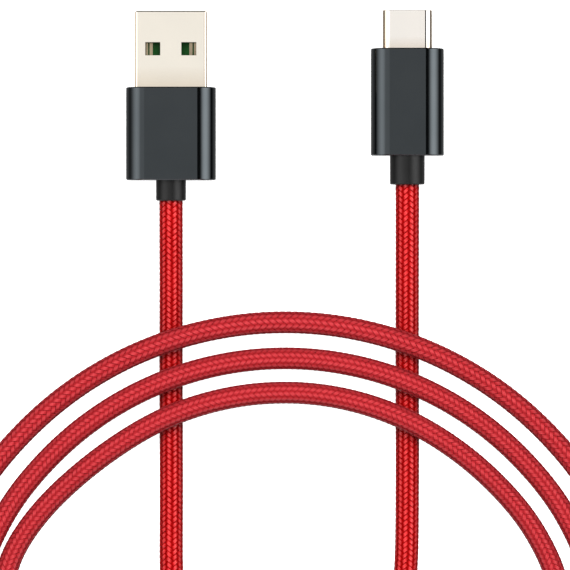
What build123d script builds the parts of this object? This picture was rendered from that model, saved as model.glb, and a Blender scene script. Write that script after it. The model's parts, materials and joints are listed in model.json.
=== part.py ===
"""A 1.1 m braided charging cable: a type A plug and a type C plug on one cord, lying flat on a table.

Millimetres, +Z up, plugs pointing to +Y. The origin is on the table, midway between the two plugs.
The cord leaves the type A plug, runs under the coil, turns into its inner turn, goes round two and
a half times, comes off the outer turn over the others and runs under the coil to the type C plug.
"""

from math import cos, pi, radians, sin, tan
import os

from build123d import *

# The cord
CORD_D = 3.8
CORD_R = CORD_D / 2
JACKET_R = 1.5
WIRE_R = 0.45
STRAND_R = 0.2
CORD_LIE = 2.0  # height of the cord's centre where it lies on the table

# The coil: two and a half turns of an oval, round on the near side, where it lies on both leads
COIL_Y = -97.0
NEAR_R = 54.85
SIDE_R = 31.0
NEAR_ANGLE = 30.0  # the near arc runs from here to the same angle on the other side
FAR_ANGLE = 35.0  # the side arcs run this far past the level of their centres
TURNS = (-5.8, 0.0, 6.0)  # how far each turn lies outside the middle one, on the near side
HUMP_RISE = 3.9  # how far the coil is lifted where it lies on the leads
HUMP_TOP_X = 25.0
HUMP_FOOT_X = 46.0

# The type A plug
A_X, A_Z = -19.0, 3.8
A_TIP = 15.7
A_FRONT = 3.0
A_REAR = -12.5
A_COLLAR_END = -15.9
A_HOUSING = (15.0, 7.6)
A_COLLAR_R = 2.5
A_SHELL = (12.0, 4.5)
A_SHELL_CORNER = 0.45
A_SHELL_LENGTH = 18.1
SHELL_WALL = 0.3
WINDOW = (2.5, 2.2)
WINDOW_X = 3.0
WINDOW_BACK = 6.35  # from the tip to the windows' centres
SEAM = (0.1, 0.15)
A_MOUTH_DEPTH = 9.6
A_CONTACT_THICK = 0.3
A_CONTACT_GROOVE = (0.24, 0.1)  # width, depth
A_TAIL_END = -4.5
A_CONTACTS = {  # x, width, distance of the nose from the tip
    "vbus": (-3.7, 1.3, 1.1),
    "d_minus": (-1.0, 1.0, 2.1),
    "d_plus": (1.0, 1.0, 2.1),
    "ground": (3.7, 1.3, 1.1),
}

# The type C plug
C_X, C_Z = 20.4, 3.4
C_TIP = 15.9
C_FRONT = 9.5
C_REAR = -8.4
C_COLLAR_END = -13.2
C_HOUSING = (12.2, 6.8)
C_COLLAR_R = 2.9
C_SHELL = (8.25, 2.4)
C_SHELL_LENGTH = 11.0
C_INSULATOR = (7.6, 1.75)
C_INSULATOR_REAR = 4.4
C_SLOT = (6.9, 0.9, 5.8)
C_PITCH = 0.5
C_CONTACT = (0.25, 0.15)  # width, thickness
C_BOARD = (7.2, 0.6)
C_BOARD_Y = (4.2, -0.8)
C_UPPER_PINS = (1, 4, 5, 6, 7, 9, 12)
C_LOWER_PINS = (1, 4, 9, 12)
C_WIRE_X = (-2.4, -0.8, 0.8, 2.4)

# Both housings
HOUSING_CORNER = 3.1
HOUSING_WALL = 0.7
REAR_WALL = 0.8
MOULD_SET_BACK = 0.2
FLANGE = (8.4, 2.5, 1.2)  # the collar's flange inside the housing: width, corner, thickness
FLANGE_GAP = 0.1
EDGE_BREAK = 0.15

WIRE_NAMES = ("red", "white", "green", "black")
BUNDLE = {"red": (-0.55, -0.5), "white": (-0.55, 0.5), "green": (0.55, 0.5), "black": (0.55, -0.5)}

# The leads, where they aren't coiled: points of straight runs, joined by arcs
LEAD_A = [
    (A_X, -10.5, A_Z),
    (A_X, -20.5, A_Z),
    (A_X, -30.5, 2.2),
    (-19.05, -43.5, CORD_LIE),
    (-18.95, -63.0, CORD_LIE),
    (-19.05, -83.0, CORD_LIE),
    (-16.6, -92.5, CORD_LIE),
    (-10.6, -100.4, CORD_LIE),
    (-2.4, -106.2, CORD_LIE),
    (7.2, -109.9, CORD_LIE),
    (17.6, -111.9, CORD_LIE),
    (28.9, -110.4, CORD_LIE),
    (35.0, -107.75, CORD_LIE),
    (40.1, -103.45, CORD_LIE),
    (43.8, -97.9, CORD_LIE),
    (45.855, -91.5, CORD_LIE),
]
LEAD_C = [
    (-57.655, -92.2, CORD_LIE),
    (-55.7, -101.2, 3.6),
    (-50.6, -109.6, 5.9),
    (-42.4, -116.4, 6.1),
    (-31.6, -120.9, 6.0),
    (-18.9, -122.0, 5.9),
    (-6.6, -119.1, 5.9),
    (4.2, -112.8, 5.9),
    (12.9, -103.9, 5.9),
    (18.3, -92.8, 3.2),
    (20.3, -79.5, CORD_LIE),
    (20.45, -62.5, CORD_LIE),
    (20.4, -43.5, CORD_LIE),
    (C_X, -30.5, 2.2),
    (C_X, -19.5, C_Z),
    (C_X, -6.4, C_Z),
]


def across(x, y, z):
    """The plane across a plug at y: sketch x is X, sketch y is Z, and extrusion runs back to the cord."""
    return Plane(origin=(x, y, z), x_dir=(1, 0, 0), z_dir=(0, -1, 0))


def along(x, z):
    """The upright plane along a plug at x: sketch x is Y, sketch y is height above z."""
    return Plane(origin=(x, 0, z), x_dir=(0, 1, 0), z_dir=(1, 0, 0))


def coil_arcs(out, near, shift=0.0):
    """Half of the coil's oval, +X to -X if near, -X to +X if far: centre, radius, start and size."""
    off = NEAR_R - SIDE_R
    side_x = off * cos(radians(NEAR_ANGLE))
    side_y = COIL_Y + off * sin(radians(NEAR_ANGLE))
    if near:
        return [
            ((side_x, side_y), SIDE_R + out, 0, NEAR_ANGLE),
            ((0, COIL_Y), NEAR_R + out, NEAR_ANGLE, 180 - 2 * NEAR_ANGLE),
            ((-side_x, side_y), SIDE_R + out, 180 - NEAR_ANGLE, NEAR_ANGLE),
        ]
    far_r = SIDE_R + side_x / cos(radians(FAR_ANGLE))
    far_y = side_y + side_x * tan(radians(FAR_ANGLE))
    return [
        ((shift - side_x, side_y), SIDE_R + out, 180, FAR_ANGLE),
        ((shift, far_y), far_r + out, 180 + FAR_ANGLE, 180 - 2 * FAR_ANGLE),
        ((shift + side_x, side_y), SIDE_R + out, 360 - FAR_ANGLE, FAR_ANGLE),
    ]


def coil_outline(inside, outside):
    """The outline between two rows of arcs that start and end at the same levels."""
    with BuildLine() as outline:
        rows = [[CenterArc(*arc) for arc in row] for row in (inside, outside)]
        Line(rows[0][0] @ 0, rows[1][0] @ 0)
        Line(rows[0][-1] @ 1, rows[1][-1] @ 1)
    return outline.line


def tube(route):
    """The cord's tube along a route, with the arc at each corner as large as its two runs allow."""
    points = [Vector(*p) for p in route]
    radii = []
    for before, here, after in zip(points, points[1:], points[2:]):
        turn = radians((here - before).get_angle(after - here))
        shorter = min((here - before).length, (after - here).length)
        radii.append(0.45 * shorter / tan(turn / 2))
    with BuildPart() as made:
        with BuildLine() as path:
            FilletPolyline(*points, radius=radii)
        centreline = path.wire()
        with BuildSketch(Plane(origin=centreline @ 0, z_dir=centreline % 0)):
            Circle(CORD_R)
        sweep(path=centreline)
    length = centreline.length
    share = made.part.volume / (length * pi * CORD_R**2)
    print(f"  tube {length:.1f} mm, volume share {share:.4f}, radii", [round(r) for r in radii])
    return made.part, length


def wire(plug_x, plug_z, name, start_y, end_x, end_y, end_z, bare_to_y):
    """One insulated wire from the jacket's end to its joint, with the stripped strand at its end."""
    x, z = BUNDLE[name]
    start = Vector(plug_x + x, start_y, plug_z + z)
    finish = Vector(plug_x + end_x, end_y, plug_z + end_z)
    step = Vector(0, 0.7, 0)
    with BuildPart() as made:
        with BuildLine() as path:
            FilletPolyline(start, start + step, finish - step, finish, radius=0.5)
        with BuildSketch(across(*start)):
            Circle(WIRE_R)
        sweep(path=path.line)
        with BuildSketch(across(finish.X, bare_to_y, finish.Z)):
            Circle(STRAND_R)
        extrude(amount=bare_to_y - end_y)
    return made.part


def housing(x, z, size, front, rear, collar_r):
    """An anodised sleeve with rounded sides, open in front, with a hole for the collar behind."""
    inner = [s - 2 * HOUSING_WALL for s in size]
    with BuildPart() as made:
        with BuildSketch(across(x, front, z)):
            RectangleRounded(*size, HOUSING_CORNER)
        extrude(amount=front - rear)
        ends = made.faces().filter_by(Axis.Y)
        chamfer(ends.edges(), EDGE_BREAK)
        with BuildSketch(across(x, front, z)):
            RectangleRounded(*inner, HOUSING_CORNER - HOUSING_WALL)
        extrude(amount=front - rear - REAR_WALL, mode=Mode.SUBTRACT)
        with BuildSketch(across(x, rear + REAR_WALL, z)):
            Circle(collar_r)
        extrude(amount=REAR_WALL, mode=Mode.SUBTRACT)
    return made.part


def collar(x, z, size, rear, end, collar_r):
    """The moulded strain relief: a sleeve on the cord with a flange inside the housing."""
    wide, corner, thick = FLANGE
    back = rear + REAR_WALL
    high = size[1] - 2 * HOUSING_WALL - FLANGE_GAP
    with BuildPart() as made:
        with BuildSketch(across(x, back, z)):
            Circle(collar_r)
        extrude(amount=back - end)
        chamfer(made.edges().sort_by(Axis.Y)[0], 0.15)
        with BuildSketch(across(x, back + thick, z)):
            RectangleRounded(wide, high, corner)
        extrude(amount=thick)
        with BuildSketch(across(x, back + thick, z)):
            Circle(CORD_R)
        extrude(amount=back + thick - end, mode=Mode.SUBTRACT)
    return made.part


def inner_mould(x, z, size, front, rear, shell_face, shell_end, chamber, chamber_end):
    """The plastic block inside a housing: it grips the shell, the jacket's end and the collar."""
    inner = [s - 2 * HOUSING_WALL for s in size]
    face = front - MOULD_SET_BACK
    wide, corner, thick = FLANGE
    back = rear + REAR_WALL + thick
    with BuildPart() as made:
        with BuildSketch(across(x, face, z)):
            RectangleRounded(*inner, HOUSING_CORNER - HOUSING_WALL)
        extrude(amount=face - back)
        with BuildSketch(across(x, face, z)):
            add(shell_face)
        extrude(amount=face - shell_end, mode=Mode.SUBTRACT)
        with BuildSketch(across(x, shell_end, z)):
            Rectangle(*chamber)
        extrude(amount=shell_end - chamber_end, mode=Mode.SUBTRACT)
        with BuildSketch(across(x, chamber_end, z)):
            Circle(JACKET_R)
        extrude(amount=chamber_end - back, mode=Mode.SUBTRACT)
    return made.part


def solder_joints(x, z, places, y, top, length):
    """A small dome of solder over each stripped strand."""
    with BuildPart() as made:
        with BuildSketch(Plane(origin=(x, y, z + top))):
            with Locations(*[(place, 0) for place in places]):
                RectangleRounded(0.9, length, 0.3)
        extrude(amount=0.55, taper=15)
        with BuildSketch(across(x, y + length / 2, z + top + STRAND_R + 0.02)):
            with Locations(*[(place, 0) for place in places]):
                Circle(STRAND_R)
        extrude(amount=length, mode=Mode.SUBTRACT)
    return made.part


def cylinder_between(x, z, radius, front, rear):
    """A round bar along Y."""
    with BuildPart() as made:
        with BuildSketch(across(x, front, z)):
            Circle(radius)
        extrude(amount=front - rear)
    return made.part


pieces = {}

# ---- Type A plug ----------------------------------------------------------------------------

with BuildPart() as usb_a_shell:
    with BuildSketch(across(A_X, A_TIP, A_Z)):
        RectangleRounded(*A_SHELL, A_SHELL_CORNER)
    extrude(amount=A_SHELL_LENGTH)
    lead_in = usb_a_shell.faces().sort_by(Axis.Y)[-1].edges()
    chamfer(lead_in, 0.2)
    with BuildSketch(across(A_X, A_TIP, A_Z)):
        RectangleRounded(*[s - 2 * SHELL_WALL for s in A_SHELL], A_SHELL_CORNER - SHELL_WALL)
    extrude(amount=A_SHELL_LENGTH, mode=Mode.SUBTRACT)
    with BuildSketch(Plane(origin=(A_X, A_TIP - WINDOW_BACK, A_Z))):
        with Locations((-WINDOW_X, 0), (WINDOW_X, 0)):
            Rectangle(*WINDOW)
    extrude(amount=A_SHELL[1], both=True, mode=Mode.SUBTRACT)
    seam_floor = A_Z - A_SHELL[1] / 2
    with BuildSketch(Plane(origin=(A_X, 0, seam_floor))):
        with Locations((0, A_TIP - A_SHELL_LENGTH / 2)):
            Rectangle(SEAM[0], A_SHELL_LENGTH)
        with Locations((0, A_TIP - WINDOW_BACK)):
            Trapezoid(2.2, 1.6, 70)
            Trapezoid(2.0, 1.4, 70, mode=Mode.SUBTRACT)
    extrude(amount=SEAM[1], mode=Mode.SUBTRACT)
pieces["usb_a_shell"] = usb_a_shell.part

tail_z = -A_CONTACT_THICK
a_contacts = {}
for name, (x, width, set_back) in A_CONTACTS.items():
    nose = A_TIP - set_back
    with BuildPart() as usb_a_contact:
        with BuildSketch(along(A_X + x, A_Z)):
            with BuildLine():
                Polyline(
                    (A_TAIL_END, tail_z),
                    (nose - 0.5, tail_z),
                    (nose, tail_z - 0.25),
                    (nose, tail_z),
                    (nose - 0.5, 0),
                    (A_TAIL_END, 0),
                    close=True,
                )
            make_face()
        extrude(amount=width / 2, both=True)
        with BuildSketch(across(A_X + x, nose, A_Z)):
            Rectangle(A_CONTACT_GROOVE[0], 2 * A_CONTACT_GROOVE[1])
        extrude(amount=nose - A_TIP + A_MOUTH_DEPTH, mode=Mode.SUBTRACT)
    a_contacts[name] = usb_a_contact.part
    pieces[f"usb_a_contact_{name}"] = usb_a_contact.part

with BuildPart() as usb_a_tongue:
    with BuildSketch(along(A_X, A_Z)):
        with BuildLine():
            Polyline(
                (A_TIP - 0.5, -1.5),
                (A_TIP - 0.5, -0.45),
                (A_TIP - 0.9, -0.05),
                (A_TIP - A_MOUTH_DEPTH, -0.05),
                (A_TIP - A_MOUTH_DEPTH, 1.9),
                (-2.0, 1.9),
                (-2.0, -A_CONTACT_THICK),
                (A_TAIL_END - 0.1, -A_CONTACT_THICK),
                (A_TAIL_END - 0.1, -1.9),
                (A_TIP - 0.9, -1.9),
                close=True,
            )
        make_face()
    extrude(amount=5.55, both=True)
    for contact in a_contacts.values():
        add(contact, mode=Mode.SUBTRACT)
pieces["usb_a_tongue"] = usb_a_tongue.part

for name, (contact_x, _, _) in zip(WIRE_NAMES, A_CONTACTS.values()):
    end = (contact_x, A_TAIL_END - 0.2, STRAND_R + 0.02)
    pieces[f"usb_a_wire_{name}"] = wire(A_X, A_Z, name, -7.6, *end, bare_to_y=-2.7)
contact_xs = [x for x, _, _ in A_CONTACTS.values()]
pieces["usb_a_solder_joints"] = solder_joints(A_X, A_Z, contact_xs, -3.4, 0, 1.6)

with BuildSketch() as a_shell_outline:
    RectangleRounded(*A_SHELL, A_SHELL_CORNER)
pieces["usb_a_housing"] = housing(A_X, A_Z, A_HOUSING, A_FRONT, A_REAR, A_COLLAR_R)
pieces["usb_a_collar"] = collar(A_X, A_Z, A_HOUSING, A_REAR, A_COLLAR_END, A_COLLAR_R)
pieces["usb_a_inner_mould"] = inner_mould(
    A_X, A_Z, A_HOUSING, A_FRONT, A_REAR,
    a_shell_outline.sketch, A_TIP - A_SHELL_LENGTH, (11.6, 4.6), -8.5,
)
pieces["usb_a_jacket_end"] = cylinder_between(A_X, A_Z, JACKET_R, -7.6, LEAD_A[0][1])

# ---- Type C plug ----------------------------------------------------------------------------

with BuildPart() as usb_c_shell:
    with BuildSketch(across(C_X, C_TIP, C_Z)):
        SlotOverall(*C_SHELL)
    extrude(amount=C_SHELL_LENGTH)
    fillet(usb_c_shell.faces().sort_by(Axis.Y)[-1].edges(), 0.12)
    with BuildSketch(across(C_X, C_TIP, C_Z)):
        SlotOverall(C_SHELL[0] - 2 * SHELL_WALL, C_SHELL[1] - 2 * SHELL_WALL)
    extrude(amount=C_SHELL_LENGTH, mode=Mode.SUBTRACT)
pieces["usb_c_shell"] = usb_c_shell.part

contact_foot = C_BOARD[1] / 2
for row, pins, side in (("upper", C_UPPER_PINS, 1), ("lower", C_LOWER_PINS, -1)):
    with BuildPart() as usb_c_contacts:
        for pin in pins:
            x = side * (pin - 6.5) * C_PITCH
            with BuildSketch(along(C_X + x, C_Z)):
                with BuildLine():
                    Polyline(
                        (C_TIP - 1.0, side * 0.45),
                        (C_TIP - 1.0, side * 0.38),
                        (C_TIP - 1.7, side * 0.24),
                        (C_TIP - 2.4, side * contact_foot),
                        (1.9, side * contact_foot),
                        (1.9, side * 0.45),
                        close=True,
                    )
                make_face()
            extrude(amount=C_CONTACT[0] / 2, both=True)
    pieces[f"usb_c_contacts_{row}"] = usb_c_contacts.part

with BuildPart() as usb_c_latch:
    with BuildSketch(Plane(origin=(C_X, 0, C_Z - 0.1))):
        with BuildLine() as arm:
            Polyline(
                (0, 8.6), (3.7, 8.6), (3.7, 14.0), (3.55, 15.1), (3.15, 14.6),
                (3.48, 14.0), (3.48, 9.1), (0, 9.1), close=True,
            )
        make_face()
        mirror(about=Plane.YZ)
    extrude(amount=0.2)
pieces["usb_c_latch"] = usb_c_latch.part

with BuildPart() as usb_c_ground_springs:
    for bottom in (0.74, -0.86):
        with BuildSketch(Plane(origin=(C_X, C_TIP - 2.6, C_Z + bottom))):
            Rectangle(5.4, 2.8)
            with GridLocations(1.6, 0, 3, 1):
                Rectangle(0.9, 1.6, mode=Mode.SUBTRACT)
        extrude(amount=0.12)
pieces["usb_c_ground_springs"] = usb_c_ground_springs.part

with BuildPart() as usb_c_insulator:
    with BuildSketch(across(C_X, C_TIP - 0.15, C_Z)):
        SlotOverall(*C_INSULATOR)
    extrude(amount=C_TIP - 0.15 - C_INSULATOR_REAR)
    with BuildSketch(across(C_X, C_TIP, C_Z)):
        RectangleRounded(C_SLOT[0], C_SLOT[1], 0.2)
    extrude(amount=C_SLOT[2], mode=Mode.SUBTRACT)
    for name in ("upper", "lower"):
        add(pieces[f"usb_c_contacts_{name}"], mode=Mode.SUBTRACT)
    add(usb_c_ground_springs.part, mode=Mode.SUBTRACT)
    with BuildSketch(Plane(origin=(C_X, 0, C_Z - 0.15))):
        with Locations((0, 11.85)):
            Rectangle(7.44, 6.6)
        with Locations((0, 12.35)):
            Rectangle(6.9, 6.0, mode=Mode.SUBTRACT)
    extrude(amount=0.3, mode=Mode.SUBTRACT)
pieces["usb_c_insulator"] = usb_c_insulator.part

board_long = C_BOARD_Y[0] - C_BOARD_Y[1]
board_mid = (C_BOARD_Y[0] + C_BOARD_Y[1]) / 2
with BuildPart() as usb_c_circuit_board:
    with BuildSketch(Plane(origin=(C_X, board_mid, C_Z - C_BOARD[1] / 2))):
        RectangleRounded(C_BOARD[0], board_long, 0.3)
    extrude(amount=C_BOARD[1])
pieces["usb_c_circuit_board"] = usb_c_circuit_board.part

with BuildPart() as usb_c_resistor:
    with BuildSketch(Plane(origin=(C_X, 0.9, C_Z - C_BOARD[1] / 2))):
        Rectangle(1.0, 0.5)
    extrude(amount=-0.35)
pieces["usb_c_resistor"] = usb_c_resistor.part

for name, pad_x in zip(WIRE_NAMES, C_WIRE_X):
    end = (pad_x, C_BOARD_Y[1] - 0.2, contact_foot + STRAND_R + 0.02)
    pieces[f"usb_c_wire_{name}"] = wire(C_X, C_Z, name, -4.0, *end, bare_to_y=0.6)
pieces["usb_c_solder_joints"] = solder_joints(C_X, C_Z, C_WIRE_X, 0.1, contact_foot, 1.2)

with BuildSketch() as c_shell_outline:
    SlotOverall(*C_SHELL)
pieces["usb_c_housing"] = housing(C_X, C_Z, C_HOUSING, C_FRONT, C_REAR, C_COLLAR_R)
pieces["usb_c_collar"] = collar(C_X, C_Z, C_HOUSING, C_REAR, C_COLLAR_END, C_COLLAR_R)
pieces["usb_c_inner_mould"] = inner_mould(
    C_X, C_Z, C_HOUSING, C_FRONT, C_REAR,
    c_shell_outline.sketch, C_TIP - C_SHELL_LENGTH, (9.2, 3.8), -4.7,
)
pieces["usb_c_jacket_end"] = cylinder_between(C_X, C_Z, JACKET_R, -4.0, LEAD_C[-1][1])

# ---- Cord -----------------------------------------------------------------------------------

low = CORD_LIE - CORD_R
far_turns = [(TURNS[i] + TURNS[i + 1]) / 2 for i in range(2)]
far_shifts = [(TURNS[i + 1] - TURNS[i]) / 2 for i in range(2)]
near_inside = coil_arcs(TURNS[0] - CORD_R, near=True)
near_outside = coil_arcs(TURNS[-1] + CORD_R, near=True)
side_y = near_inside[0][0][1]
side_x = near_inside[0][0][0]
coil_start = (side_x + SIDE_R + TURNS[0], side_y, CORD_LIE)
coil_end = (-side_x - SIDE_R - TURNS[-1], side_y, CORD_LIE)
reach = side_x + SIDE_R + TURNS[-1] + CORD_R

with BuildPart() as cord_coil:
    # The far side: two turns wide, flat on the table
    with BuildSketch(Plane.XY.offset(low)):
        far_inside = coil_arcs(far_turns[0] - CORD_R, near=False, shift=far_shifts[0])
        far_outside = coil_arcs(far_turns[1] + CORD_R, near=False, shift=far_shifts[1])
        add(coil_outline(far_inside, far_outside))
        make_face()
    extrude(amount=CORD_D)
    # The near side: three turns wide, and humped over the leads
    with BuildSketch(Plane.XY.offset(low)):
        add(coil_outline(near_inside, near_outside))
        make_face()
    near_side = extrude(amount=3 * CORD_D, mode=Mode.PRIVATE)
    with BuildSketch(Plane(origin=(0, side_y, 0), x_dir=(1, 0, 0), z_dir=(0, -1, 0))):
        with BuildLine():
            middle = (HUMP_FOOT_X + HUMP_TOP_X) / 2
            for base in (low, low + CORD_D):
                top = base + HUMP_RISE
                for side in (-1, 1):
                    foot, crest = side * HUMP_FOOT_X, side * HUMP_TOP_X
                    Line((side * reach, base), (foot, base))
                    Bezier((foot, base), (side * middle, base), (side * middle, top), (crest, top))
                Line((-HUMP_TOP_X, top), (HUMP_TOP_X, top))
            for side in (-1, 1):
                Line((side * reach, low), (side * reach, low + CORD_D))
        make_face()
    hump = extrude(amount=-2 * NEAR_R, mode=Mode.PRIVATE)
    add(near_side & hump)
pieces["cord_coil"] = cord_coil.part

pieces["cord_lead_usb_a"], length_a = tube([*LEAD_A, coil_start])
pieces["cord_lead_usb_c"], length_c = tube([coil_end, *LEAD_C])

turns = [coil_arcs(out, near=True) for out in TURNS]
turns += [coil_arcs(far_turns[i], near=False, shift=far_shifts[i]) for i in range(2)]
length_coil = sum(radius * radians(size) for turn in turns for _, radius, _, size in turn)
print(f"cord length about {length_a + length_coil + length_c:.0f} mm")

# ---- Export ---------------------------------------------------------------------------------

os.makedirs("parts", exist_ok=True)
for name, piece in pieces.items():
    piece.label = name
    export_step(piece, f"parts/{name}.step")
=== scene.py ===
"""The looks of a braided charging cable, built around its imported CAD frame. Metres, +Z up."""

import json
from math import cos, pi, radians, sin, tan

import bpy
import numpy as np
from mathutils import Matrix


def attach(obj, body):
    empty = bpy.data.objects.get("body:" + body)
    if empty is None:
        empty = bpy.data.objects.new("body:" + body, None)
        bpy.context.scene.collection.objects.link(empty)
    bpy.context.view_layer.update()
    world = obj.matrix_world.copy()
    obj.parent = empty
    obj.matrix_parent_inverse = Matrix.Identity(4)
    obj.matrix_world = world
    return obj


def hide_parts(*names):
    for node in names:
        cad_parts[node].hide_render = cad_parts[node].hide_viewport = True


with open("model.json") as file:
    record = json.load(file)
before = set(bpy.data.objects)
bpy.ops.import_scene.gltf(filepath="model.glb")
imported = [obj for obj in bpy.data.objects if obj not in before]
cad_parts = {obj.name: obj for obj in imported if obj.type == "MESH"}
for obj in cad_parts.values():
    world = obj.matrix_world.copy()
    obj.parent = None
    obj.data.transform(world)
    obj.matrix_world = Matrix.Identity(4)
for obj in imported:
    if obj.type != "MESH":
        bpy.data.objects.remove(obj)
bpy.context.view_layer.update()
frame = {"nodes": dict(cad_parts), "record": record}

# ---- Camera ---------------------------------------------------------------------------------

VIEW_CENTRE = (0.0, -0.02995)
VIEW_WIDTH = 0.095
VIEW_PLANE = 0.004  # the height at which the view is that wide
LENS, SENSOR = 400.0, 36.0

camera_data = bpy.data.cameras.new("camera")
camera_data.lens = LENS
camera_data.sensor_width = SENSOR
camera = bpy.data.objects.new("camera", camera_data)
camera.location = (*VIEW_CENTRE, VIEW_PLANE + VIEW_WIDTH * LENS / SENSOR)
bpy.context.scene.collection.objects.link(camera)
bpy.context.scene.camera = camera

# ---- The cord's line ------------------------------------------------------------------------

CORD_D = 0.0038
LIE = 0.0020  # height of the cord's centre where it lies on the table
CORE_SPACING = 0.0006  # between the points that the core follows
# The route's points where the cord isn't coiled
LEAD_A = [
    (-0.01900, -0.0105, 0.0038),
    (-0.01900, -0.0205, 0.0038),
    (-0.01900, -0.0305, 0.0022),
    (-0.01905, -0.0435, LIE),
    (-0.01895, -0.0630, LIE),
    (-0.01905, -0.0830, LIE),
    (-0.01660, -0.0925, LIE),
    (-0.01060, -0.1004, LIE),
    (-0.00240, -0.1062, LIE),
    (0.00720, -0.1099, LIE),
    (0.01760, -0.1119, LIE),
    (0.02890, -0.1104, LIE),
    (0.03500, -0.10775, LIE),
    (0.04010, -0.10345, LIE),
    (0.04380, -0.0979, LIE),
    (0.045855, -0.0915, LIE),
]
LEAD_C = [
    (-0.057655, -0.0922, LIE),
    (-0.05570, -0.1012, 0.0036),
    (-0.05060, -0.1096, 0.0059),
    (-0.04240, -0.1164, 0.0061),
    (-0.03160, -0.1209, 0.0060),
    (-0.01890, -0.1220, 0.0059),
    (-0.00660, -0.1191, 0.0059),
    (0.00420, -0.1128, 0.0059),
    (0.01290, -0.1039, 0.0059),
    (0.01830, -0.0928, 0.0032),
    (0.02030, -0.0795, LIE),
    (0.02045, -0.0625, LIE),
    (0.02040, -0.0435, LIE),
    (0.02040, -0.0305, 0.0022),
    (0.02040, -0.0195, 0.0034),
    (0.02040, -0.0064, 0.0034),
]

# The coil: an oval of tangent arcs, round on the near side, where it lies on both leads
COIL_Y = -0.097
NEAR_R, SIDE_R = 0.05485, 0.031
NEAR_ANGLE, FAR_ANGLE = 30.0, 35.0
TURNS = (-0.0058, 0.0, 0.0060)  # how far each turn lies outside the middle one
HUMP_RISE = 0.0039
HUMP_TOP_X, HUMP_FOOT_X = 0.025, 0.046
STEP = 15.0  # degrees between two points of a turn
STRAY = (  # angle on the near side, how far the innermost turn strays outwards there
    (0, 0.0003), (55, -0.0003), (75, 0.0001), (112, 0.0001),
    (128, -0.0001), (142, 0.0008), (158, 0.0018), (172, 0.0014), (187, 0.0),
)


def oval_point(angle, out, shift):
    """The point of the oval where its outward normal is at the angle, moved out and to +X."""
    off = NEAR_R - SIDE_R
    side_x = off * cos(radians(NEAR_ANGLE))
    side_y = COIL_Y + off * sin(radians(NEAR_ANGLE))
    x = cos(radians(angle))
    if NEAR_ANGLE < angle < 180 - NEAR_ANGLE:
        centre, radius = (0.0, COIL_Y), NEAR_R
    elif 180 + FAR_ANGLE < angle < 360 - FAR_ANGLE:
        centre = (shift, side_y + side_x * tan(radians(FAR_ANGLE)))
        radius = SIDE_R + side_x / cos(radians(FAR_ANGLE))
    else:
        centre, radius = (side_x * (1 if x > 0 else -1) + shift, side_y), SIDE_R
    reach = (radius + out) / cos(radians(STEP / 2))
    return centre[0] + reach * x, centre[1] + reach * sin(radians(angle))


def hump(x):
    """The coil's height where it lies over the leads."""
    t = min(max((HUMP_FOOT_X - abs(x)) / (HUMP_FOOT_X - HUMP_TOP_X), 0.0), 1.0)
    return LIE + HUMP_RISE * t * t * (3 - 2 * t)


def coil_points():
    """The coil's points: three near sides and the two far sides between them."""
    points = []
    steps = int(180 / STEP)
    stray_angles, strays = np.array(STRAY).T
    for turn, out in enumerate(TURNS):
        for i in range(steps):
            angle = STEP * (i + 0.5)
            stray = np.interp(angle, stray_angles, strays) if turn == 0 else 0.0
            x, y = oval_point(angle, out + stray, 0.0)
            points.append((x, y, hump(x)))
        if turn + 1 < len(TURNS):
            after = TURNS[turn + 1]
            for i in range(steps):
                x, y = oval_point(180 + STEP * (i + 0.5), (out + after) / 2, (after - out) / 2)
                points.append((x, y, LIE))
    return points


def smooth_line(points):
    """Points read along the NURBS spline that has the route's points as its control points."""
    curve = bpy.data.curves.new("cord_route", "CURVE")
    curve.dimensions = "3D"
    curve.resolution_u = 24
    spline = curve.splines.new("NURBS")
    spline.points.add(len(points) - 1)
    for control, point in zip(spline.points, points):
        control.co = (*point, 1.0)
    spline.order_u = 3
    spline.use_endpoint_u = True
    holder = bpy.data.objects.new("cord_route", curve)
    mesh = bpy.data.meshes.new_from_object(holder)
    line = np.array([v.co for v in mesh.vertices])
    bpy.data.objects.remove(holder)
    bpy.data.meshes.remove(mesh)
    return line


def even(line, spacing):
    """The line again, with its points evenly spaced, and each point's distance along it."""
    lengths = np.linalg.norm(np.diff(line, axis=0), axis=1)
    along = np.concatenate([[0], np.cumsum(lengths)])
    count = int(along[-1] / spacing) + 1
    places = np.linspace(0, along[-1], count)
    points = np.stack([np.interp(places, along, line[:, axis]) for axis in range(3)], axis=1)
    return points, places


# ---- Meshes ---------------------------------------------------------------------------------


def unit(v):
    """The vectors at length one."""
    return v / np.linalg.norm(v, axis=-1, keepdims=True)


def directions(line):
    """Level to the side of the line, and square to both it and the side, at each point."""
    tangent = unit(np.gradient(line, axis=0))
    side = unit(np.cross((0, 0, 1), tangent))
    return side, np.cross(tangent, side)


def mesh_piece(name, vertices, quads, attributes=()):
    """A shaded-smooth mesh object on the root body, with float attributes on its points."""
    mesh = bpy.data.meshes.new(name)
    mesh.vertices.add(len(vertices))
    mesh.vertices.foreach_set("co", np.ascontiguousarray(vertices, np.float32).ravel())
    mesh.loops.add(quads.size)
    mesh.loops.foreach_set("vertex_index", quads.astype(np.int32).ravel())
    mesh.polygons.add(len(quads))
    mesh.polygons.foreach_set("loop_start", np.arange(0, quads.size, 4, dtype=np.int32))
    mesh.polygons.foreach_set("use_smooth", np.ones(len(quads), bool))
    for label, values in attributes:
        attribute = mesh.attributes.new(label, "FLOAT", "POINT")
        attribute.data.foreach_set("value", np.ascontiguousarray(values, np.float32).ravel())
    mesh.update(calc_edges=True)
    mesh.validate()
    piece = bpy.data.objects.new(name, mesh)
    bpy.context.scene.collection.objects.link(piece)
    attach(piece, "root")
    return piece


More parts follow.
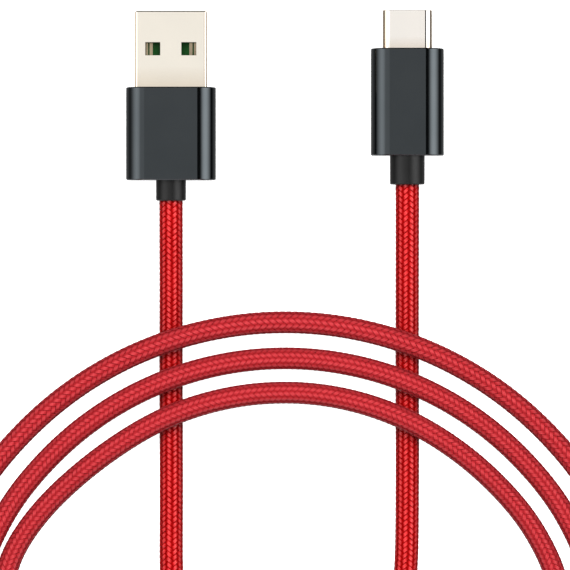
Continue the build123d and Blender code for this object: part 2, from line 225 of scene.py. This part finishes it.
def rings_to_quads(rings, size):
    """Quads that join a row of closed rings of vertices."""
    start = np.arange(rings - 1)[:, None] * size
    here = start + np.arange(size)[None]
    after = start + (np.arange(size)[None] + 1) % size
    quads = np.stack([here, after, after + size, here + size], axis=-1)
    return quads.reshape(-1, 4)


# ---- The braid ------------------------------------------------------------------------------

CARRIERS = 12  # strands each way, of two yarns each
RISES = CARRIERS // 2  # times that a strand comes to the top in one round
SAMPLES = 7  # sections in one over-and-under of a strand
BRAID_R = 0.00199  # outside of the braid on the leads
COIL_BRAID_R = 0.00185  # outside of the braid where it lies in the coil, stretched a little
WAVE = 0.0001  # how far a strand goes up and down
WAVE_FLATNESS = 1.5  # how level a strand stays at the top and at the bottom of its wave
STRAND_W = 0.00069
STRAND_W_VARIES = 0.03
STRAND_CROWN = 0.00011
COIL_WIDER, COIL_FLATTER = 0.06, 0.3  # how the strands differ in the coil, as shares
OWN_SHARE = 0.6  # a vertex's crest is this much its own and the rest its section's
CORE_R = 0.00155
CORE_SIDES = 16
STRANDS_PER_PIECE = 2
# A strand's section: across, in half widths, and outwards, in crowns
SECTION = (
    (-1.0, 0.2), (-0.74, 0.85), (-0.32, 1.0), (0.0, 0.45),
    (0.32, 1.0), (0.74, 0.85), (1.0, 0.2), (0.0, -0.7),
)
LEAD_LAY = 0.0109  # length in which a strand goes round once on the leads
# Along the cord: distance, length in which a strand goes round once, degrees the braid is turned
HANDLING = (
    (0.00, LEAD_LAY, 5.0),
    (0.13, LEAD_LAY, 5.0),
    (0.17, 0.0116, -9.0),
    (0.30, 0.0116, -9.0),
    (0.43, 0.0117, 25.0),
    (0.58, 0.0117, 25.0),
    (0.74, 0.0129, 37.5),
    (0.90, 0.0129, 37.5),
    (0.99, LEAD_LAY, 53.7),
    (1.11, LEAD_LAY, 53.7),
)
COIL_FROM, COIL_BLEND = 0.11, 0.05  # along the cord from either end: where the coil's look comes in

# Painted shade in the yarn's colour: a painted shadow beside a collar, painted shade beside the coil, and
# painted shade low on the cord
INSIDE_A, INSIDE_C = 0.0054, 0.0068  # lengths of cord inside the plugs and their collars
COLLAR_SHADE, COLLAR_REACH = 0.6, 0.0005
BESIDE_SHADE, BESIDE_REACH = 0.26, 0.008
LOW_SHADE, LOW_SHADE_COIL = 0.14, 0.28
LOW_BOTTOM, LOW_SPAN = 0.6, 0.35  # upward part of a strand's direction out of the cord


def coiled(along):
    """0 on the leads, 1 in the coil."""
    t = np.clip((np.minimum(along, along[-1] - along) - COIL_FROM) / COIL_BLEND, 0, 1)
    return t * t * (3 - 2 * t)


def under_coil(line, in_coil):
    """How far each point of the line is from the edge of the turns that lie over the leads."""
    over = line[(in_coil > 0.99) & (line[:, 2] > LIE + HUMP_RISE / 2)]
    gaps = np.linalg.norm(line[:, None, :2] - over[None, ::4, :2], axis=-1).min(axis=1)
    return np.maximum(gaps - CORD_D / 2, 0)


def painted_shade_kept(line, along, in_coil):
    """How much of its brightness each point of the line keeps under the painted shadow beside the collars
    and the painted shade beside the coil.
    """
    from_plug = np.minimum(along - INSIDE_A, along[-1] - INSIDE_C - along)
    beside_collar = COLLAR_SHADE * np.exp(-np.maximum(from_plug, 0) / COLLAR_REACH)
    beside_coil = BESIDE_SHADE * (1 - in_coil) * np.exp(-under_coil(line, in_coil) / BESIDE_REACH)
    return (1 - beside_collar) * (1 - beside_coil)


def strand_crest(hand, angle):
    """1 where a strand of that hand is on top, -1 where it is under the others."""
    return -hand * np.sin(RISES * angle)


def braid(line, along):
    """Every strand's rings of vertices, one strand after another, with their attributes."""
    side, up = directions(line)
    in_coil = coiled(along)
    crown = STRAND_CROWN * (1 - COIL_FLATTER * in_coil)
    middle = BRAID_R + (COIL_BRAID_R - BRAID_R) * in_coil - WAVE - crown
    kept = painted_shade_kept(line, along, in_coil)
    low_shade = LOW_SHADE + (LOW_SHADE_COIL - LOW_SHADE) * in_coil
    places, lays, twists = np.array(HANDLING).T
    twist = np.radians(np.interp(along, places, twists))
    rounds = np.cumsum(np.gradient(along) / np.interp(along, places, lays))
    rng = np.random.default_rng(7)
    strands = []
    for hand in (1, -1):
        for i in range(CARRIERS):
            angle = hand * 2 * pi * rounds + 2 * pi * (i + 0.25) / CARRIERS
            crest = strand_crest(hand, angle)
            lift = np.tanh(WAVE_FLATNESS * crest) / np.tanh(WAVE_FLATNESS)
            turned = angle + twist
            radial = np.cos(turned)[:, None] * up + np.sin(turned)[:, None] * side
            centre = line + radial * (middle + WAVE * lift)[:, None]
            across = unit(np.cross(unit(np.gradient(centre, axis=0)), radial))
            width = STRAND_W * (1 + STRAND_W_VARIES * rng.standard_normal()) * (1 + COIL_WIDER * in_coil)
            ring = np.stack(
                [
                    centre + across * (width / 2 * wide)[:, None] + radial * (crown * high)[:, None]
                    for wide, high in SECTION
                ],
                axis=1,
            )
            out = ring - line[:, None]
            around = np.arctan2((out * side[:, None]).sum(-1), (out * up[:, None]).sum(-1))
            own_crest = strand_crest(hand, around - twist[:, None])
            # painted shade on the strands' lower sides, where less light falls
            low = 1 - np.clip((radial[:, 2] - LOW_BOTTOM) / LOW_SPAN, 0, 1)
            count, size = len(line), len(SECTION)
            attributes = {
                "across": np.tile([wide for wide, _ in SECTION], count),
                "crest": (OWN_SHARE * own_crest + (1 - OWN_SHARE) * crest[:, None]).ravel(),
                "tone": np.full(count * size, rng.random()),
                "coil": np.repeat(in_coil, size),
                "shade": np.repeat(kept * (1 - low * low_shade), size),
            }
            strands.append((ring.reshape(-1, 3), attributes))
    return strands


def braid_piece(number, strands):
    """One mesh of a few strands."""
    size = len(SECTION)
    quads, offset = [], 0
    for vertices, _ in strands:
        quads.append(rings_to_quads(len(vertices) // size, size) + offset)
        offset += len(vertices)
    vertices = np.concatenate([vertices for vertices, _ in strands])
    labels = strands[0][1]
    attributes = [(label, np.concatenate([strand[1][label] for strand in strands])) for label in labels]
    return mesh_piece(f"braid_{number}", vertices, np.concatenate(quads), attributes)


def round_core(line):
    """The dark bundle inside the braid."""
    side, up = directions(line)
    spokes = (np.arange(CORE_SIDES) * 2 * pi / CORE_SIDES)[None, :, None]
    rings = line[:, None] + CORE_R * (np.cos(spokes) * up[:, None] + np.sin(spokes) * side[:, None])
    return mesh_piece("cord_core", rings.reshape(-1, 3), rings_to_quads(len(line), CORE_SIDES))


route_line = smooth_line(LEAD_A + coil_points() + LEAD_C)
core_line, core_along = even(route_line, CORE_SPACING)
core = round_core(core_line)

strands = braid(*even(route_line, LEAD_LAY / RISES / SAMPLES))
braid_pieces = [
    braid_piece(first // STRANDS_PER_PIECE + 1, strands[first : first + STRANDS_PER_PIECE])
    for first in range(0, len(strands), STRANDS_PER_PIECE)
]

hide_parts("cord_lead_usb_a", "cord_coil", "cord_lead_usb_c")

# ---- Materials ------------------------------------------------------------------------------

STEEP = (0.2, 0.7)  # sideways part of the surface's direction, where the painted reflection on the sides comes in
# Painted shade on a plug's shell, deepest where it leaves its housing
HOUSING_SHADE = (0.86, 0.82, 0.77)
HOUSING_SHADE_A, HOUSING_SHADE_C = (0.003, 0.0065), (0.0095, 0.0115)  # along Y, from each housing's front


def feed(links, socket, value):
    """Set the socket to a number, or link another node's output to it."""
    if isinstance(value, (int, float)):
        socket.default_value = value
    else:
        links.new(value, socket)


class Shader:
    """A material's node tree, with short ways to add to it."""

    def __init__(self, name, **values):
        self.material = bpy.data.materials.new(name)
        self.material.use_nodes = True
        self.nodes = self.material.node_tree.nodes
        self.links = self.material.node_tree.links
        self.bsdf = self.nodes["Principled BSDF"]
        self.coordinates = self.nodes.new("ShaderNodeTexCoord").outputs["Object"]
        for key, value in values.items():
            self.bsdf.inputs[key.replace("_", " ")].default_value = value

    def add(self, kind, **values):
        """A node of the kind, with its settings."""
        node = self.nodes.new(kind)
        for key, value in values.items():
            setattr(node, key, value)
        return node

    def plug(self, source, target):
        self.links.new(source, target)

    def noise(self, scale, detail=3.0, roughness=0.5, stretch=None):
        """Noise over the piece's own coordinates, 0 to 1."""
        node = self.add("ShaderNodeTexNoise")
        node.inputs["Scale"].default_value = scale
        node.inputs["Detail"].default_value = detail
        node.inputs["Roughness"].default_value = roughness
        source = self.coordinates
        if stretch:
            mapping = self.add("ShaderNodeMapping")
            mapping.inputs["Scale"].default_value = stretch
            self.plug(source, mapping.inputs["Vector"])
            source = mapping.outputs["Vector"]
        self.plug(source, node.inputs["Vector"])
        return node.outputs["Fac"]

    def attribute(self, name):
        """A float attribute of the mesh's points."""
        return self.add("ShaderNodeAttribute", attribute_name=name).outputs["Fac"]

    def math(self, operation, first, second=0.0, third=0.0):
        """A math node's result, from numbers or sockets."""
        node = self.add("ShaderNodeMath", operation=operation)
        for socket, value in zip(node.inputs, (first, second, third)):
            feed(self.links, socket, value)
        return node.outputs[0]

    def ramp(self, source, *stops):
        """The colour at the source's value, between the stops' colours."""
        node = self.add("ShaderNodeValToRGB")
        ramp = node.color_ramp
        while len(ramp.elements) < len(stops):
            ramp.elements.new(0.5)
        for element, (place, colour) in zip(ramp.elements, stops):
            element.position = place
            element.color = (*colour, 1.0)
        self.plug(source, node.inputs["Fac"])
        return node.outputs["Color"]

    def range(self, source, low, high, to_low, to_high):
        """The source's value moved from one range to another, and kept within it."""
        node = self.add("ShaderNodeMapRange")
        for key, value in zip(("From Min", "From Max", "To Min", "To Max"), (low, high, to_low, to_high)):
            node.inputs[key].default_value = value
        self.plug(source, node.inputs["Value"])
        return node.outputs["Result"]

    def steepness(self):
        """0 on faces level across the plug, 1 on its steep sides."""
        split = self.add("ShaderNodeSeparateXYZ")
        self.plug(self.nodes["Texture Coordinate"].outputs["Normal"], split.inputs[0])
        return self.range(self.math("ABSOLUTE", split.outputs["X"]), *STEEP, 0.0, 1.0)

    def nearness(self, reach_a, reach_c):
        """1 where the shell leaves its housing, 0 from the reach's end on: type A at -X, type C at +X."""
        split = self.add("ShaderNodeSeparateXYZ")
        self.plug(self.coordinates, split.inputs[0])
        is_a = self.math("LESS_THAN", split.outputs["X"], 0.0)
        near_a, near_c = [self.range(split.outputs["Y"], *ends, 1.0, 0.0) for ends in (reach_a, reach_c)]
        return self.math("MULTIPLY_ADD", is_a, self.math("SUBTRACT", near_a, near_c), near_c)

    def mix(self, first, second, amount, blend="MIX"):
        """The two colours mixed, or multiplied, by the amount."""
        node = self.add("ShaderNodeMix", data_type="RGBA", blend_type=blend)
        factor, colour_a, colour_b = (node.inputs[i] for i in (0, 6, 7))
        feed(self.links, factor, amount)
        self.plug(first, colour_a)
        if isinstance(second, tuple):
            colour_b.default_value = (*second, 1.0)
        else:
            self.plug(second, colour_b)
        return node.outputs[2]

    def bump(self, height, strength, distance):
        """Tilt the surface's shading by the height."""
        node = self.add("ShaderNodeBump")
        node.inputs["Strength"].default_value = strength
        node.inputs["Distance"].default_value = distance
        self.plug(height, node.inputs["Height"])
        self.plug(node.outputs["Normal"], self.bsdf.inputs["Normal"])


# Yarn colour, from deep between the strands to the top of one: the dark low end is painted shade. In the
# coil the ramp is flatter and pinker, a painted sheen.
LEAD_YARN_AND_SHADE = (
    (0.0, (0.25, 0.001, 0.001)), (0.5, (0.435, 0.005, 0.006)), (1.0, (0.71, 0.022, 0.024)),
)
COIL_YARN_SHADE_AND_SHEEN = (
    (0.0, (0.32, 0.015, 0.019)), (0.5, (0.38, 0.020, 0.026)), (1.0, (0.46, 0.030, 0.037)),
)
YARN_HEIGHT, STRAND_HEIGHT, FLAT_HEIGHT = 0.34, 0.48, 0.23  # shares in a strand's lightness, which is painted shade where it is low
BLOTCH, TONE = 0.5, 0.12  # how far the lightness varies within a strand, and between strands


def yarn_material():
    """Braided red yarn, with painted shade in its grooves and where its strands dip under others.
    Attributes give each point's place on its strand and on the cord, and its painted shade.
    """
    shader = Shader("yarn_red")
    crest = shader.attribute("crest")
    tone = shader.attribute("tone")
    across = shader.attribute("across")
    coil = shader.attribute("coil")
    # Across a strand: one hump for the strand, and one for each of its two yarns; the grooves between
    # them get painted shade
    off_yarn = shader.math("SUBTRACT", shader.math("ABSOLUTE", across), 0.5)
    yarn = shader.math("MULTIPLY_ADD", shader.math("MULTIPLY", off_yarn, off_yarn), -4.0, 1.0)
    strand = shader.math("MULTIPLY_ADD", shader.math("MULTIPLY", across, across), -1.0, 1.0)
    humps = shader.math("MULTIPLY_ADD", strand, STRAND_HEIGHT, FLAT_HEIGHT)
    humps = shader.math("MULTIPLY_ADD", yarn, YARN_HEIGHT, humps)
    # Along it: only where it is on top; where it dips under the others it gets painted shade
    top = shader.range(crest, 0.3, 1.0, 0.0, 1.0)
    height = shader.math("MULTIPLY", top, humps)
    blotch = shader.math("SUBTRACT", shader.noise(1400.0), 0.5)
    level = shader.math("MULTIPLY_ADD", blotch, BLOTCH, height)
    level = shader.math("MULTIPLY_ADD", tone, TONE, level)
    colour = shader.mix(shader.ramp(level, *LEAD_YARN_AND_SHADE), shader.ramp(level, *COIL_YARN_SHADE_AND_SHEEN), coil)
    # painted shade: a painted shadow beside the collars, painted shade beside the coil and on the cord's
    # lower sides
    colour = shader.mix(colour, shader.attribute("shade"), 1.0, "MULTIPLY")
    shader.plug(colour, shader.bsdf.inputs["Base Color"])
    gloss = shader.math("ADD", height, 0.05)
    gloss = shader.math("MULTIPLY", gloss, shader.range(coil, 0.0, 1.0, 1.0, 0.75))
    shader.plug(gloss, shader.bsdf.inputs["Specular IOR Level"])
    rough = shader.range(top, 0.0, 1.0, 0.6, 0.42)
    rough = shader.math("MULTIPLY_ADD", coil, 0.12, rough)
    shader.plug(rough, shader.bsdf.inputs["Roughness"])
    shader.bump(shader.noise(6000.0, 2.0), 0.4, 0.00002)
    return shader.material


def core_material():
    """What shows between the strands."""
    shader = Shader("core_dark_red", Roughness=0.7)
    colour = shader.ramp(shader.noise(700.0), (0.3, (0.22, 0.002, 0.003)), (0.7, (0.30, 0.003, 0.005)))
    shader.plug(colour, shader.bsdf.inputs["Base Color"])
    return shader.material


def metal(name, dark, light, roughness, grain, bump, stretch=None, sides=None):
    """Metal with a faint cloudiness in its colour and a fine grain in its gloss and on its surface.

    A plug's shell gets a painted reflection, browner, on its steep sides, and painted shade where it
    leaves its housing.
    """
    shader = Shader(name, Metallic=1.0)
    cloud = shader.noise(160.0, 2.0)
    colour = shader.ramp(cloud, (0.3, dark), (0.7, light))
    if sides:
        # painted reflection, browner, on the shell's steep sides
        colour = shader.mix(colour, sides, shader.steepness(), "MULTIPLY")
        # painted shade where the shell leaves its housing
        colour = shader.mix(colour, HOUSING_SHADE, shader.nearness(HOUSING_SHADE_A, HOUSING_SHADE_C), "MULTIPLY")
    shader.plug(colour, shader.bsdf.inputs["Base Color"])
    fine = shader.noise(grain, 2.0, 0.6, stretch)
    gloss = shader.range(fine, 0.3, 0.7, roughness * 0.85, roughness * 1.15)
    shader.plug(gloss, shader.bsdf.inputs["Roughness"])
    shader.bump(fine, bump, 0.00001)
    return shader.material


def plastic(name, dark, light, roughness, grain=2500.0, bump=0.15, specular=0.5):
    """Moulded plastic or rubber: faint colour variation and a fine moulded texture."""
    shader = Shader(name, Specular_IOR_Level=specular)
    colour = shader.ramp(shader.noise(400.0), (0.3, dark), (0.7, light))
    shader.plug(colour, shader.bsdf.inputs["Base Color"])
    fine = shader.noise(grain, 3.0)
    gloss = shader.range(fine, 0.3, 0.7, roughness - 0.05, roughness + 0.05)
    shader.plug(gloss, shader.bsdf.inputs["Roughness"])
    shader.bump(fine, bump, 0.00002)
    return shader.material


SIDE_REFLECTION_BROWN = (0.84, 0.73, 0.61)
PLATED = (0.89, 0.835, 0.735), (0.92, 0.86, 0.755)
PALE_PLATED = (0.93, 0.885, 0.825), (0.96, 0.91, 0.845)
ANODISED = (0.048, 0.0545, 0.0585), (0.052, 0.0585, 0.0625)
RUBBER = (0.0045, 0.0045, 0.0045), (0.006, 0.006, 0.006)
MOULDED_GREEN = (0.003, 0.026, 0.004), (0.004, 0.034, 0.006)
GOLD = (0.26, 0.20, 0.14), (0.44, 0.36, 0.24)

MATERIALS = {
    "housing": metal("anodised_grey", *ANODISED, 0.12, 9000.0, 0.05),
    "collar": plastic("rubber_black", *RUBBER, 0.36, specular=0.22),
    "plug_shell": metal("plated_steel", *PLATED, 0.11, 5000.0, 0.02, sides=SIDE_REFLECTION_BROWN),
    "inner_mould": plastic("moulded_black", (0.012, 0.012, 0.013), (0.018, 0.018, 0.019), 0.6),
    "tongue": plastic("moulded_green", *MOULDED_GREEN, 0.5, specular=0.15),
    "insulator": plastic("insulator_black", (0.015, 0.015, 0.016), (0.022, 0.022, 0.023), 0.45),
    "contact": metal("gold_plate", *GOLD, 0.2, 3000.0, 0.2, stretch=(1.0, 0.05, 1.0)),
    "spring_steel": metal("spring_steel", (0.50, 0.49, 0.47), (0.60, 0.59, 0.57), 0.25, 6000.0, 0.1),
    "circuit_board": plastic("board_green", (0.006, 0.05, 0.02), (0.01, 0.08, 0.03), 0.3),
    "chip": plastic("chip_black", (0.01, 0.01, 0.01), (0.02, 0.02, 0.02), 0.4),
    "solder": metal("solder", (0.60, 0.60, 0.60), (0.72, 0.72, 0.72), 0.3, 3000.0, 0.2),
    "jacket": plastic("jacket_dark_red", (0.12, 0.004, 0.004), (0.16, 0.006, 0.006), 0.5),
    "wire_red": plastic("wire_red", (0.5, 0.01, 0.01), (0.6, 0.02, 0.02), 0.4),
    "wire_white": plastic("wire_white", (0.70, 0.70, 0.68), (0.80, 0.80, 0.78), 0.4),
    "wire_green": plastic("wire_green", (0.01, 0.22, 0.04), (0.02, 0.30, 0.06), 0.4),
    "wire_black": plastic("wire_black", (0.01, 0.01, 0.01), (0.02, 0.02, 0.02), 0.4),
}
# A node whose material isn't its slot's
NODE_MATERIALS = {
    "usb_c_shell": metal("plated_steel_pale", *PALE_PLATED, 0.11, 5000.0, 0.02, sides=SIDE_REFLECTION_BROWN),
}

for subpart in frame["record"]["subparts"]:
    if subpart["material_slot"] in MATERIALS:
        node = frame["nodes"][subpart["node"]]
        node.data.materials.clear()
        finish = NODE_MATERIALS.get(subpart["node"], MATERIALS[subpart["material_slot"]])
        node.data.materials.append(finish)

core.data.materials.append(core_material())
yarn = yarn_material()
for piece in braid_pieces:
    piece.data.materials.append(yarn)

# ---- Floor and light ------------------------------------------------------------------------

FLOOR_HALF = 3.0
floor_mesh = bpy.data.meshes.new("floor")
corners = [(x * FLOOR_HALF, y * FLOOR_HALF, 0.0) for x, y in ((-1, -1), (1, -1), (1, 1), (-1, 1))]
floor_mesh.from_pydata(corners, [], [(0, 1, 2, 3)])
floor = bpy.data.objects.new("floor", floor_mesh)
bpy.context.scene.collection.objects.link(floor)
floor_shader = Shader("floor_white", Roughness=0.9)
floor_shader.bsdf.inputs["Base Color"].default_value = (0.85, 0.85, 0.85, 1.0)
floor_shader.bsdf.inputs["Emission Color"].default_value = (1.0, 1.0, 1.0, 1.0)
floor_shader.bsdf.inputs["Emission Strength"].default_value = 1.0
floor_mesh.materials.append(floor_shader.material)
floor.visible_glossy = False
floor.visible_diffuse = False

SOFTBOX_SIZE, SOFTBOX_POWER = 0.6, 10.2
SOFTBOX_PLACE, SOFTBOX_TILT = (0.0, 0.15, 0.7), -16.0
softbox_data = bpy.data.lights.new("softbox", "AREA")
softbox_data.shape = "DISK"
softbox_data.size = SOFTBOX_SIZE
softbox_data.energy = SOFTBOX_POWER
softbox = bpy.data.objects.new("softbox", softbox_data)
softbox.location = SOFTBOX_PLACE
softbox.rotation_euler = (radians(SOFTBOX_TILT), 0.0, 0.0)
softbox.visible_glossy = False
softbox.visible_camera = False
bpy.context.scene.collection.objects.link(softbox)

# ---- What the plugs reflect -----------------------------------------------------------------

# Degrees from straight up, towards +X: brightness there
STRIPS = (
    (-180, 0.8), (-150, 0.36), (-131, 0.4), (-118, 0.36), (-107, 0.2), (-97, 0.2), (-88, 0.5),
    (-80, 0.95), (-65, 2.3), (-50, 3.1), (-37, 2.65), (-31, 2.1), (-25, 1.35), (-6, 1.28),
    (-3, 0.98), (4, 0.98), (5, 0.04), (16, 0.04), (22, 0.4), (31, 2.4), (40, 3.85), (50, 4.4),
    (58, 4.25), (65, 3.7), (80, 1.75), (90, 0.4), (97, 0.08), (107, 0.1), (118, 0.32),
    (131, 0.4), (150, 0.36), (180, 0.8),
)
EVEN_LEVEL = 0.98  # brightness towards +Y and -Y, where there are no strips
AROUND = ((0.0, 0.0), (0.2, 0.0), (0.5, 1.0), (1.0, 1.0))  # towards +Y or -Y: share of the even level
ENDS = ((-1.0, 1.8), (-0.85, 1.1), (-0.3, 1.0), (0.5, 1.0), (0.8, 0.12), (1.0, 0.1))  # towards +Y: factor
AMBIENT = 0.04  # brightness for rays that neither reflect nor come from the camera

world = bpy.data.worlds.new("studio")
bpy.context.scene.world = world
world.use_nodes = True
nodes, links = world.node_tree.nodes, world.node_tree.links
nodes.clear()
output = nodes.new("ShaderNodeOutputWorld")
background = nodes.new("ShaderNodeBackground")
background.inputs["Color"].default_value = (1.0, 1.0, 1.0, 1.0)
links.new(background.outputs[0], output.inputs[0])
direction = nodes.new("ShaderNodeSeparateXYZ")
links.new(nodes.new("ShaderNodeTexCoord").outputs["Generated"], direction.inputs[0])


def world_math(operation, first, second):
    """A math node's result, from numbers or sockets."""
    node = nodes.new("ShaderNodeMath")
    node.operation = operation
    feed(links, node.inputs[0], first)
    feed(links, node.inputs[1], second)
    return node.outputs[0]


def world_steps(source, steps):
    """The level at the source's value, between the steps' levels."""
    low, high = steps[0][0], steps[-1][0]
    brightest = max(level for _, level in steps)
    place = nodes.new("ShaderNodeMapRange")
    place.inputs["From Min"].default_value = low
    place.inputs["From Max"].default_value = high
    links.new(source, place.inputs["Value"])
    ramp = nodes.new("ShaderNodeValToRGB")
    while len(ramp.color_ramp.elements) < len(steps):
        ramp.color_ramp.elements.new(0.5)
    for element, (value, level) in zip(ramp.color_ramp.elements, steps):
        element.position = (value - low) / (high - low)
        element.color = (level / brightest,) * 3 + (1.0,)
    links.new(place.outputs[0], ramp.inputs["Fac"])
    return world_math("MULTIPLY", ramp.outputs["Color"], brightest)


def world_mix(amount, first, second):
    """Between the first and the second, by the amount."""
    node = nodes.new("ShaderNodeMix")
    for key, value in (("Factor", amount), ("A", first), ("B", second)):
        feed(links, node.inputs[key], value)
    return node.outputs["Result"]


tilt = world_math("ARCTAN2", direction.outputs["X"], direction.outputs["Z"])
tilt = world_math("MULTIPLY", tilt, 180 / pi)
around = world_steps(world_math("ABSOLUTE", direction.outputs["Y"], 0.0), AROUND)
reflected = world_mix(around, world_steps(tilt, STRIPS), EVEN_LEVEL)
reflected = world_math("MULTIPLY", reflected, world_steps(direction.outputs["Y"], ENDS))
rays = nodes.new("ShaderNodeLightPath")
unseen = world_mix(rays.outputs["Is Glossy Ray"], AMBIENT, reflected)
links.new(world_mix(rays.outputs["Is Camera Ray"], unseen, 1.0), background.inputs["Strength"])

# ---- View transform -------------------------------------------------------------------------

bpy.context.scene.view_settings.view_transform = "Standard"
